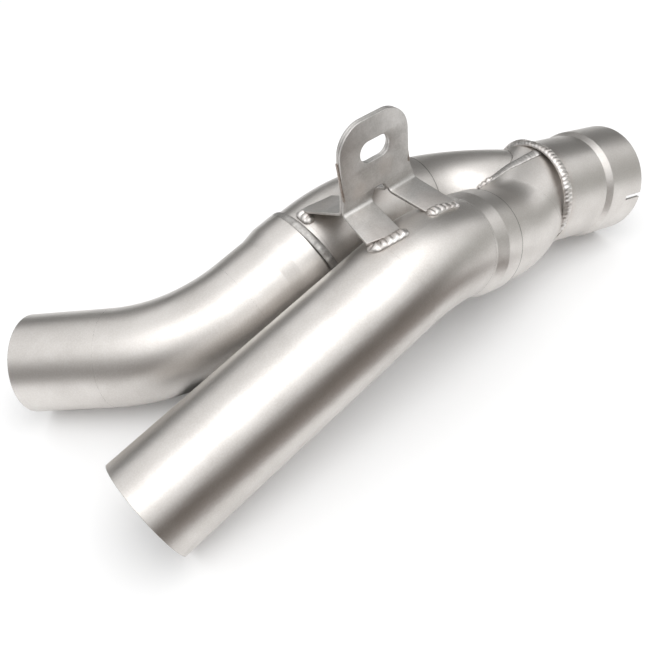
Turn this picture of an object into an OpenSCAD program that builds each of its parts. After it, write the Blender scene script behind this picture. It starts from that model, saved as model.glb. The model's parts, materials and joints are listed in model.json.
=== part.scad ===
// Two into one link pipe for a motorcycle exhaust, without a catalyst.
// The origin is the centre of the outlet's open end. X runs along the front tube, towards
// the outlet. Y runs from the front tube to the rear tube, square to the bracket. Z is up,
// and the pipe lies on a level surface on both inlets and the outlet.

/* [Tube] */
// Outer diameter of every tube
tube_od = 50.8; // [48:0.1:51]
// Wall of every tube
wall = 1.5; // [1:0.1:1.6]
// Gap on the radius between a socket and the tube inside it
slip = 0.1; // [0.08:0.02:0.2]
// Length of a socket that is swaged out to take the next tube
socket_len = 12; // [9:0.5:12]
// Length of the cone between a tube and its socket
cone_len = 8; // [5:0.5:8]
// Depth to which a tube stands in its socket
seat_depth = 9; // [5:0.5:9]

/* [Front route] */
// Distance along X from the merge back to the front inlet
front_inlet_x = 259.5; // [230:0.5:320]
// Drop of the front inlet below the merge
front_inlet_drop = 17.5; // [10:0.1:30]
// Distance from the merge to the front tube's side, along Y
front_side = 13.7; // [13:0.1:18]
// Distance along X from the merge back to the front tube's corner
front_corner_x = 93.8; // [92:0.1:100]
// Rise of the front tube's corner above the merge
front_corner_rise = 19; // [15:0.1:21]
// Distance along X from the merge back to the front leg's corner
front_leg_x = 27.7; // [26:0.1:29]
// Distance from the merge to the front leg's corner, along Y
front_leg_side = 8.3; // [7:0.1:10]
// Drop of the front leg's corner below the merge
front_leg_drop = 5; // [3:0.1:6]

/* [Rear route] */
// Distance along X from the merge back to the rear inlet
rear_inlet_x = 261; // [250:0.5:290]
// Distance from the merge to the rear inlet, along Y
rear_inlet_side = 103.7; // [96:0.1:120]
// Drop of the rear inlet below the merge
rear_inlet_drop = 16.9; // [10:0.1:30]
// Distance along X from the merge back to the rear inlet tube's corner
rear_corner_x = 201; // [199:0.1:206]
// Distance from the merge to the rear inlet tube's corner, along Y
rear_corner_side = 47.7; // [45:0.1:50]
// Drop of the rear inlet tube's corner below the merge
rear_corner_drop = 12.5; // [8:0.1:16]
// Distance along X from the merge back to the rear middle tube's corner
rear_mid_x = 96; // [95:0.1:98]
// Distance from the merge to the rear middle tube's corner, along Y
rear_mid_side = 45.6; // [45:0.1:48]
// Rise of the rear middle tube's corner above the merge
rear_mid_rise = 12; // [9:0.1:13]
// Distance along X from the merge back to the rear leg's corner
rear_leg_x = 15.4; // [14:0.1:16]
// Distance from the merge to the rear leg's corner, along Y
rear_leg_side = 42.5; // [42:0.1:46]
// Drop of the rear leg's corner below the merge
rear_leg_drop = 7.6; // [6:0.1:9]

/* [Bends] */
// Centreline radius of the front tube's bend
front_bend_r = 72; // [60:1:73]
// Centreline radius of the front leg's bend
front_leg_bend_r = 50; // [45:1:55]
// Centreline radius of the rear inlet tube's bend
rear_bend_r = 100; // [80:1:110]
// Centreline radius of the rear middle tube's bend
rear_mid_bend_r = 100; // [80:1:105]
// Centreline radius of the rear leg's bend
rear_leg_bend_r = 50; // [45:1:51]
// Distance from the front socket's rim to the bend after it
front_rim_margin = 14; // [12:0.1:14.5]
// Distance from the rear inlet tube's rim to the bend after it
rear_rim_margin = 6.2; // [4:0.1:10]
// Distance from the rear middle tube's rim to the bend after it
mid_rim_margin = 0.5; // [0.3:0.1:2]

/* [Collector] */
// Distance from the merge to the outlet's open end
outlet_reach = 58.8; // [56:0.1:75]
// Angle by which the collector turns towards the front tube
outlet_turn = 7.8; // [4:0.1:12]
// Angle by which the collector falls
outlet_fall = 12.2; // [9:0.1:14]
// Distance past the merge at which the collector begins
collector_start = 2.2; // [1.5:0.1:3]
// Outer diameter of the collector's narrow part
collector_od = 58; // [57:0.1:59]
// Bore of the clamp end, which slips over the silencer's pipe
outlet_bore = 58; // [57:0.1:60]
// Length of the clamp end
clamp_len = 24; // [20:0.5:26]
// Length of the step from the narrow part to the clamp end
step_len = 4; // [3:0.5:6]
// Length of each slit in the clamp end
slit_len = 12; // [8:0.5:18]
// Width of each slit
slit_w = 2.4; // [1.5:0.1:4]
// Angle of the first slit, from the top towards the front
slit_turn = 83; // [60:1:120]

/* [Bracket] */
// Thickness of each of the two plates
plate_t = 1.5; // [1:0.1:2]
// Distance along X from the merge back to the bracket's middle
bracket_x = 98.6; // [96:0.1:101]
// Distance from the merge to the plane where the plates meet, along Y
bracket_y = 14.9; // [14:0.1:16]
// Height of the fold line above the merge
fold_z = 44.5; // [43.5:0.1:46]
// Width of the upright
upright_w = 40.7; // [36:0.1:43]
// Height of the upright above the fold line
upright_h = 41; // [39:0.1:60]
// Radius of the upright's top corners
corner_r = 14; // [6:0.1:16]
// Length of the slot
slot_len = 17.8; // [14:0.1:22]
// Width of the slot, which takes the bolt
slot_w = 10.4; // [8:0.1:12]
// Height of the slot's centre above the fold line
slot_z = 25; // [21:0.1:28]
// Width of the feet from side to side
feet_w = 49; // [47:0.1:52]
// Width of the notch between two feet
notch_w = 14.4; // [11:0.1:18]
// Height of the notch above the fold line
notch_h = 4.8; // [3:0.1:8]
// Radius of the notch's top corners
notch_r = 2.6; // [1:0.1:3.5]
// Radius inside the fold
fold_r = 1.5; // [1:0.1:2.5]
// Length of the front feet from the fold line
front_foot_len = 23.5; // [22.5:0.1:25]
// Angle of the front feet below the level
front_foot_fall = 13; // [11:0.5:15]
// Length of the rear feet from the fold line
rear_foot_len = 29; // [27:0.1:31]
// Angle of the rear feet below the level
rear_foot_fall = 37; // [34:0.5:40]

/* [Welds] */
// Width of the fillet at the rear socket
fillet_w = 2.6; // [1.5:0.1:3]
// Width of the ring bead on the collector
ring_w = 4.4; // [3:0.1:5]
// Height of the seam bead over the merge legs
seam_h = 1.4; // [1:0.1:1.8]
// Radius of the beads along the bracket's feet
foot_bead_r = 2.2; // [1.8:0.1:2.6]
// Radius of the beads along the bracket's edges
edge_bead_r = 1.2; // [0.8:0.1:1.4]
// Height of the left edge bead's lower end above the fold line
left_bead_low = 6.5; // [5.5:0.1:10]
// Height of the left edge bead's upper end above the fold line
left_bead_high = 26; // [20:0.1:26]
// Height of the right edge bead's lower end above the fold line
right_bead_low = 9; // [5.5:0.1:14]
// Height of the right edge bead's upper end above the fold line
right_bead_high = 26; // [20:0.1:26]

/* [Hidden] */
$fn = 96;

tube_r = tube_od / 2;
bore_r = tube_r - wall;
socket_bore_r = tube_r + slip;
socket_r = socket_bore_r + wall;
swage_len = cone_len + socket_len;
collector_r = collector_od / 2;
outlet_bore_r = outlet_bore / 2;
outlet_r = outlet_bore_r + wall;
foot_w = (feet_w - notch_w) / 2;
far = 500;

// Straight pieces run this far into a bend, and the bend is this much thinner on each side
lap = 0.8;
thinner = 0.03;
// The legs' axes pass one another by this much, the front one above
leg_offset = 0.6;
// Number of flats round a fold
fold_steps = 12;
// The front leg runs this far past the merge before it is cut off
leg_overrun = 20;

steel = [0.70, 0.70, 0.68];
plate_steel = [0.60, 0.60, 0.58];
bead_steel = [0.80, 0.78, 0.76];

// Points of the two routes, measured from the merge
front_inlet = [-front_inlet_x, -front_side, -front_inlet_drop];
front_corner = [-front_corner_x, -front_side, front_corner_rise];
front_leg_corner = [-front_leg_x, -front_leg_side, -front_leg_drop];
front_aim = [0, 0, leg_offset / 2];
rear_inlet = [-rear_inlet_x, rear_inlet_side, -rear_inlet_drop];
rear_corner = [-rear_corner_x, rear_corner_side, -rear_corner_drop];
rear_mid_corner = [-rear_mid_x, rear_mid_side, rear_mid_rise];
rear_leg_corner = [-rear_leg_x, rear_leg_side, -rear_leg_drop];
rear_aim = [0, 0, -leg_offset / 2];
outlet_dir = [
    cos(outlet_fall) * cos(outlet_turn),
    -cos(outlet_fall) * sin(outlet_turn),
    -sin(outlet_fall)
];
outlet = outlet_reach * outlet_dir;
collector_end = collector_start * outlet_dir;

function unit(v) = v / norm(v);
function heading(a, b) = unit(b - a);
function turn(a, b, c) = acos(heading(a, b) * heading(b, c));
// Distance from a corner to each end of its bend
function trim(a, b, c, r) = r * tan(turn(a, b, c) / 2);
// The points where the bend at corner b starts and ends
function bend_start(a, b, c, r) = b - trim(a, b, c, r) * heading(a, b);
function bend_end(a, b, c, r) = b + trim(a, b, c, r) * heading(b, c);
// The rim of a socket stands before the next tube's bend at corner b
function rim_before(a, b, c, r, margin) = bend_start(a, b, c, r) - margin * heading(a, b);

front_rim = rim_before(front_corner, front_leg_corner, front_aim, front_leg_bend_r,
    front_rim_margin);
rear_rim = rim_before(rear_corner, rear_mid_corner, rear_leg_corner, rear_mid_bend_r,
    rear_rim_margin);
mid_rim = rim_before(rear_mid_corner, rear_leg_corner, rear_aim, rear_leg_bend_r,
    mid_rim_margin);

// Where the tube after each socket begins
front_seat = front_rim - seat_depth * heading(front_corner, front_leg_corner);
rear_seat = rear_rim - seat_depth * heading(rear_corner, rear_mid_corner);
mid_seat = mid_rim - seat_depth * heading(rear_mid_corner, rear_leg_corner);

// Turns the Z axis to direction v and moves the origin to p
module aim(p, v) {
    translate(p) rotate([0, atan2(norm([v.x, v.y]), v.z), atan2(v.y, v.x)]) children();
}

module ring(outer_r, inner_r) {
    difference() {
        circle(outer_r);
        if (inner_r > 0) circle(inner_r);
    }
}

// Straight tube from its free end to a bend, or a rod where inner_r is 0
module straight(free_end, bend_point, outer_r, inner_r) {
    aim(free_end, bend_point - free_end) linear_extrude(norm(bend_point - free_end) + lap)
        ring(outer_r, inner_r);
}

// Bend of radius r at corner b, on the way from a to c
module bend(a, b, c, r, outer_r, inner_r) {
    d = heading(a, b);
    angle = turn(a, b, c);
    inward = unit(heading(b, c) - cos(angle) * d);
    centre = bend_start(a, b, c, r) + r * inward;
    up = cross(-inward, d);
    multmatrix([
        [-inward.x, d.x, up.x, centre.x],
        [-inward.y, d.y, up.y, centre.y],
        [-inward.z, d.z, up.z, centre.z],
        [0, 0, 0, 1]
    ])
        rotate_extrude(angle = angle, $fn = 120) translate([r, 0])
            ring(outer_r - thinner, inner_r > 0 ? inner_r + thinner : 0);
}

// Tube with one bend and two plain ends, or a rod where inner_r is 0
module plain_tube(start, corner, end, r, outer_r, inner_r) {
    straight(start, bend_start(start, corner, end, r), outer_r, inner_r);
    bend(start, corner, end, r, outer_r, inner_r);
    straight(end, bend_end(start, corner, end, r), outer_r, inner_r);
}

// Tube with one bend whose far end is swaged out to a socket
module socketed_tube(start, corner, next, r, rim) {
    joint = bend_end(start, corner, next, r);
    length = norm(rim - joint) + lap;
    straight(start, bend_start(start, corner, next, r), tube_r, bore_r);
    bend(start, corner, next, r, tube_r, bore_r);
    aim(joint - lap * heading(corner, next), heading(corner, next)) rotate_extrude() polygon([
        [bore_r, 0], [tube_r, 0],
        [tube_r, length - swage_len], [socket_r, length - socket_len],
        [socket_r, length], [socket_bore_r, length],
        [socket_bore_r, length - socket_len], [bore_r, length - swage_len]
    ]);
}

// The two legs before they are cut, as tubes or as rods
module front_leg_run(outer_r, inner_r) {
    end = front_aim + leg_overrun * heading(front_leg_corner, front_aim);
    plain_tube(front_seat, front_leg_corner, end, front_leg_bend_r, outer_r, inner_r);
}

module rear_leg_run(outer_r, inner_r) {
    plain_tube(mid_seat, rear_leg_corner, rear_aim, rear_leg_bend_r, outer_r, inner_r);
}

// Everything on the legs' side of the collector's end, less a margin
module before_collector(margin = 0) {
    aim(collector_end - margin * outlet_dir, -outlet_dir)
        translate([-far / 2, -far / 2, 0]) cube(far);
}

module collector_rod(r) {
    aim(collector_end, outlet_dir) cylinder(r = r, h = outlet_reach - collector_start);
}

// The tubes under the bracket as rods
module front_tube_rod() {
    plain_tube(front_inlet, front_corner, front_rim, front_bend_r, tube_r, 0);
}

module rear_mid_rod() {
    plain_tube(rear_seat, rear_mid_corner, mid_rim, rear_mid_bend_r, tube_r, 0);
}

module front_tube() {
    color(steel)
        socketed_tube(front_inlet, front_corner, front_leg_corner, front_bend_r, front_rim);
}

module rear_inlet_tube() {
    color(steel)
        socketed_tube(rear_inlet, rear_corner, rear_mid_corner, rear_bend_r, rear_rim);
}

module rear_mid_tube() {
    color(steel)
        socketed_tube(rear_seat, rear_mid_corner, rear_leg_corner, rear_mid_bend_r, mid_rim);
}

module front_merge_leg() {
    color(steel) difference() {
        intersection() {
            front_leg_run(tube_r, bore_r);
            before_collector();
        }
        rear_leg_run(bore_r, 0);
    }
}

module rear_merge_leg() {
    color(steel) difference() {
        rear_leg_run(tube_r, bore_r);
        front_leg_run(tube_r, 0);
        collector_rod(collector_r);
    }
}

module collector() {
    length = outlet_reach - collector_start;
    step_at = length - clamp_len - step_len;
    color(steel) difference() {
        aim(collector_end, outlet_dir) rotate_extrude() polygon([
            [collector_r - wall, 0], [collector_r, 0],
            [collector_r, step_at], [outlet_r, step_at + step_len],
            [outlet_r, length], [outlet_bore_r, length],
            [outlet_bore_r, step_at + step_len], [collector_r - wall, step_at]
        ]);
        rear_leg_run(bore_r, 0);
        for (side = [0, 180]) slit(side);
    }
}

// One slit, side degrees round from the first
module slit(side) {
    aim(outlet, outlet_dir) rotate(slit_turn + 180 + side)
        translate([outlet_bore_r - 2, -slit_w / 2, -slit_len])
            cube([wall + 4, slit_w, slit_len + 1]);
}

// Distance from the fold line to each end of a fold
function fold_trim(fall) = fold_r * tan((90 - fall) / 2);

// Outline of the upright from height low upwards, with the fold line on the X axis
module upright_outline(low) {
    flare_r = (feet_w - upright_w) / 2;
    translate([-upright_w / 2, low]) square([upright_w, upright_h - corner_r - low]);
    translate([-upright_w / 2 + corner_r, low])
        square([upright_w - 2 * corner_r, upright_h - low]);
    for (side = [-1, 1]) {
        translate([side * (upright_w / 2 - corner_r), upright_h - corner_r]) circle(corner_r);
        flare(side, flare_r, low);
    }
}

// Fillet where the upright widens to the feet
module flare(side, r, low) {
    difference() {
        translate([side > 0 ? upright_w / 2 : -upright_w / 2 - r, low]) square([r, r]);
        translate([side * (upright_w / 2 + r), low + r]) circle(r);
    }
}

// Notch between the feet, open at its lower end
module notch() {
    translate([-notch_w / 2, -far]) square([notch_w, far + notch_h - notch_r]);
    translate([-notch_w / 2 + notch_r, -far]) square([notch_w - 2 * notch_r, far + notch_h]);
    for (side = [-1, 1])
        translate([side * (notch_w / 2 - notch_r), notch_h - notch_r]) circle(notch_r);
}

module slot() {
    straight_len = slot_len - slot_w;
    translate([-straight_len / 2, slot_z - slot_w / 2]) square([straight_len, slot_w]);
    for (side = [-1, 1]) translate([side * straight_len / 2, slot_z]) circle(slot_w / 2);
}

// Section of the upright, the fold and a foot, with the plates' meeting plane on the Y axis
module pressing_section(length, fall) {
    low = fold_trim(fall);
    centre = [plate_t + fold_r, low];
    foot = (length - low) * [cos(fall), -sin(fall)];
    // The point of the fold at radius r, a degrees round from the upright
    function on_fold(r, a) = centre - r * [cos(a), sin(a)];
    inner = [for (i = [0:fold_steps]) on_fold(fold_r, i / fold_steps * (90 - fall))];
    outer = [for (i = [fold_steps:-1:0])
        on_fold(fold_r + plate_t, i / fold_steps * (90 - fall))];
    foot_end = [on_fold(fold_r, 90 - fall) + foot, on_fold(fold_r + plate_t, 90 - fall) + foot];
    polygon(concat([[0, upright_h], [plate_t, upright_h]], inner, foot_end, outer));
}

// One pressing, with its feet towards +Y
module pressing(length, fall) {
    low = fold_trim(fall);
    difference() {
        translate([-feet_w / 2, 0, 0]) rotate([90, 0, 90])
            linear_extrude(feet_w) pressing_section(length, fall);
        translate([0, plate_t + 1, 0]) rotate([90, 0, 0]) linear_extrude(plate_t + 2) {
            difference() {
                translate([-feet_w, low]) square([2 * feet_w, upright_h]);
                upright_outline(low);
            }
            slot();
        }
        translate([0, far / 2, 0]) rotate([90, 0, 0]) linear_extrude(far) notch();
    }
}

module place_bracket() {
    translate([-bracket_x, bracket_y, fold_z]) children();
}

module front_pressing() {
    place_bracket() mirror([0, 1, 0]) pressing(front_foot_len, front_foot_fall);
}

module rear_pressing() {
    place_bracket() pressing(rear_foot_len, rear_foot_fall);
}

module bracket_front_plate() {
    color(plate_steel) difference() {
        front_pressing();
        front_tube_rod();
    }
}

module bracket_rear_plate() {
    color(plate_steel) difference() {
        rear_pressing();
        rear_mid_rod();
    }
}

module collector_ring_weld() {
    color(bead_steel) difference() {
        aim(collector_end, -outlet_dir) rotate_extrude()
            translate([collector_r - 0.8, 0]) intersection() {
                circle(ring_w / 2);
                translate([-ring_w, 0]) square([2 * ring_w, ring_w]);
            }
        front_leg_run(tube_r, 0);
        rear_leg_run(tube_r, 0);
    }
}

module merge_seam_weld() {
    color(bead_steel) difference() {
        intersection() {
            front_leg_run(tube_r + seam_h, 0);
            rear_leg_run(tube_r + seam_h, 0);
            before_collector(ring_w / 2);
        }
        front_leg_run(tube_r, 0);
        rear_leg_run(tube_r, 0);
    }
}

module rear_socket_weld() {
    color(bead_steel) aim(rear_rim, heading(rear_corner, rear_mid_corner)) rotate_extrude()
        polygon([
            [tube_r, 0], [socket_r, 0], [socket_r - 0.3, fillet_w * 0.45],
            [tube_r + 0.5, fillet_w * 0.9], [tube_r, fillet_w]
        ]);
}

// Bead with blunt tapered ends from a to b
module bead(a, b, r) {
    length = norm(b - a);
    aim(a, b - a) rotate_extrude($fn = 12) polygon([
        [0, -r * 0.8], [r * 0.6, -r * 0.6], [r, 0],
        [r, length], [r * 0.6, length + r * 0.6], [0, length + r * 0.8]
    ]);
}

// Bead along the end of one foot, side -1 for the left one: the reach is the distance
// from the fold line, at the foot's outer edge and at its inner edge
module foot_bead(side, fall, outer_reach, inner_reach) {
    along = [0, cos(fall), -sin(fall)];
    outer = [side * feet_w / 2, plate_t, 0] + outer_reach * along;
    inner = [side * notch_w / 2, plate_t, 0] + inner_reach * along;
    bead(outer, inner, foot_bead_r);
}

module front_foot_weld(side, outer_reach, inner_reach) {
    color(bead_steel) difference() {
        place_bracket() mirror([0, 1, 0])
            foot_bead(side, front_foot_fall, outer_reach, inner_reach);
        front_pressing();
        front_tube_rod();
    }
}

module rear_foot_weld(side, outer_reach, inner_reach) {
    color(bead_steel) difference() {
        place_bracket() foot_bead(side, rear_foot_fall, outer_reach, inner_reach);
        rear_pressing();
        rear_mid_rod();
    }
}

// Half round bead on one edge of the upright, side -1 for the left edge
module edge_weld(side, low, high) {
    color(bead_steel) place_bracket() intersection() {
        translate([side * upright_w / 2, 0, low]) cylinder(r = edge_bead_r, h = high - low);
        translate([side > 0 ? upright_w / 2 : -far - upright_w / 2, -far / 2, 0]) cube(far);
    }
}

module front_left_foot_weld() front_foot_weld(-1, 24, 20);
module front_right_foot_weld() front_foot_weld(1, 22, 19.5);
module rear_left_foot_weld() rear_foot_weld(-1, 25, 22.5);
module rear_right_foot_weld() rear_foot_weld(1, 24, 22);
module left_edge_weld() edge_weld(-1, left_bead_low, left_bead_high);
module right_edge_weld() edge_weld(1, right_bead_low, right_bead_high);

translate(-outlet) {
    front_tube();
    front_merge_leg();
    rear_inlet_tube();
    rear_mid_tube();
    rear_merge_leg();
    collector();
    bracket_front_plate();
    bracket_rear_plate();
    collector_ring_weld();
    merge_seam_weld();
    rear_socket_weld();
    front_left_foot_weld();
    front_right_foot_weld();
    rear_left_foot_weld();
    rear_right_foot_weld();
    left_edge_weld();
    right_edge_weld();
}
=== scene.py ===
"""Dresses a two into one link pipe: blasted tubes, a folded bracket and rippled beads.

Every length is in metres, in the part's own frame: the origin is the centre of the outlet,
X runs along the front tube, Y from the front tube to the rear one, and Z is up.
"""
import enum
import json
import logging
import math
import random
from dataclasses import dataclass, field
from functools import cached_property

import bmesh
import bpy
from mathutils import Matrix, Vector
from mathutils.bvhtree import BVHTree


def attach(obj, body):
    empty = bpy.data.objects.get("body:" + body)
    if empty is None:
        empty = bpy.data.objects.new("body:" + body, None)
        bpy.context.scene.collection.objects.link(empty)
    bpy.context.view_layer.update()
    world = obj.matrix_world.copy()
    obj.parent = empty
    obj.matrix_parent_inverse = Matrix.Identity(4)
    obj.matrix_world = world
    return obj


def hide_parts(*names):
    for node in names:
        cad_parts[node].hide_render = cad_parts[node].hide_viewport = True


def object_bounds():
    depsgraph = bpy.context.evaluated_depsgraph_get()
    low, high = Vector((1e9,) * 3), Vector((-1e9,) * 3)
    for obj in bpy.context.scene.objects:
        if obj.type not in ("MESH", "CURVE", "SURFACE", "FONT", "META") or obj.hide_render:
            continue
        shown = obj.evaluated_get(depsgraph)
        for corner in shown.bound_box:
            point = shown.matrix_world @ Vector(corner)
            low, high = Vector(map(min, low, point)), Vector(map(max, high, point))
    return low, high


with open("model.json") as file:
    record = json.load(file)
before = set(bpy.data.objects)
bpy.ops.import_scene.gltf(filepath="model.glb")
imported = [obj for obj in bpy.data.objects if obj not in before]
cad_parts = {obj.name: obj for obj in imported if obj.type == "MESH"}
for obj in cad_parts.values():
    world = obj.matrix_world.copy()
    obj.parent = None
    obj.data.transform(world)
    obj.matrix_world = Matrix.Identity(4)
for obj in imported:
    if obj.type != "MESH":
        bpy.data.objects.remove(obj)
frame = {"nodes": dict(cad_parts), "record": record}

LOG = logging.getLogger("link_pipe")
MM = 0.001
IMAGE_SIDE = 650
CAD_BOX = [list(corner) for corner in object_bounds()]

Colour = tuple[float, float, float]
Pair = tuple[float, float]
Node = bpy.types.ShaderNode
Socket = bpy.types.NodeSocket
Tree = bpy.types.NodeTree

FLOAT = "NodeSocketFloat"
VECTOR = "NodeSocketVector"


class Slot(enum.Enum):
    """The record's material slot names for plate steel and weld steel; nothing here uses them."""

    PLATE = "plate_steel"
    WELD = "weld_steel"


class End(enum.Enum):
    """How a bead finishes at its two ends."""

    CLOSED = "closed"
    ROUNDED = "rounded"


# Small helpers


def rgba(colour: Colour) -> tuple[float, float, float, float]:
    """Return a colour with full opacity."""
    return (*colour, 1.0)


def add_node(tree: Tree, kind: str, **values: object) -> Node:
    """Add a shader node and set its properties.

    Args:
        tree: The tree that takes the node.
        kind: The node's type name.
        values: Properties of the node, by name.

    Returns:
        The new node.
    """
    node = tree.nodes.new(kind)
    for name, value in values.items():
        setattr(node, name, value)
    return node


def feed(tree: Tree, node: Node, values: dict[str | int, object]) -> None:
    """Give the inputs of a node what they take.

    Args:
        tree: The tree that holds the node.
        node: The node.
        values: A socket to link or a plain value for each input, by its name or number.
    """
    for name, value in values.items():
        if isinstance(value, Socket):
            tree.links.new(value, node.inputs[name])
        else:
            node.inputs[name].default_value = value


def maths(tree: Tree, operation: str, *inputs: object) -> Socket:
    """Add a Math node.

    Args:
        tree: The tree that takes the node.
        operation: The name of the operation.
        inputs: A socket or a number for each input.

    Returns:
        The node's output socket.
    """
    node = add_node(tree, "ShaderNodeMath", operation=operation)
    feed(tree, node, dict(enumerate(inputs)))
    return node.outputs[0]


def mix_colour(tree: Tree, factor: object, first: object, second: object) -> Socket:
    """Add a colour Mix node.

    Args:
        tree: The tree that takes the node.
        factor: Socket or number, 0 for the first colour and 1 for the second.
        first: Socket or colour.
        second: Socket or colour.

    Returns:
        The mixed colour's socket.
    """
    node = add_node(tree, "ShaderNodeMix", data_type="RGBA")
    ends = [end if isinstance(end, Socket) else rgba(end) for end in (first, second)]
    feed(tree, node, {0: factor, 6: ends[0], 7: ends[1]})
    return node.outputs[2]


def remap(tree: Tree, value: Socket, low: float, high: float,
          to_low: float = 0.0, to_high: float = 1.0) -> Socket:
    """Add a smooth Map Range node.

    Args:
        tree: The tree that takes the node.
        value: The socket to remap.
        low: The value that becomes to_low.
        high: The value that becomes to_high.
        to_low: Result at and below low.
        to_high: Result at and above high.

    Returns:
        The remapped value's socket.
    """
    node = add_node(tree, "ShaderNodeMapRange", interpolation_type="SMOOTHSTEP")
    feed(tree, node, {"Value": value, "From Min": low, "From Max": high, "To Min": to_low,
                      "To Max": to_high})
    return node.outputs[0]


def noise(tree: Tree, where: Socket, size: object, detail: float = 2.0,
          roughness: float = 0.5) -> Socket:
    """Add a noise texture whose features have a real size.

    Args:
        tree: The tree that takes the nodes.
        where: Socket with the position in metres.
        size: Size of one feature in metres, as a number or a socket.
        detail: Number of finer layers.
        roughness: Weight of the finer layers.

    Returns:
        The noise value's socket, from 0 to 1.
    """
    node = add_node(tree, "ShaderNodeTexNoise")
    scale = maths(tree, "DIVIDE", 1.0, size) if isinstance(size, Socket) else 1.0 / size
    feed(tree, node, {"Vector": where, "Scale": scale, "Detail": detail, "Roughness": roughness})
    return node.outputs["Fac"]


def add_object(name: str, data: bpy.types.ID) -> bpy.types.Object:
    """Make an object of some data and put it in the scene.

    Args:
        name: The object's name.
        data: Its mesh, curve, camera or lamp.

    Returns:
        The object.
    """
    made = bpy.data.objects.new(name, data)
    bpy.context.scene.collection.objects.link(made)
    return made


# Shared effects, each a node group that is built once


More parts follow.
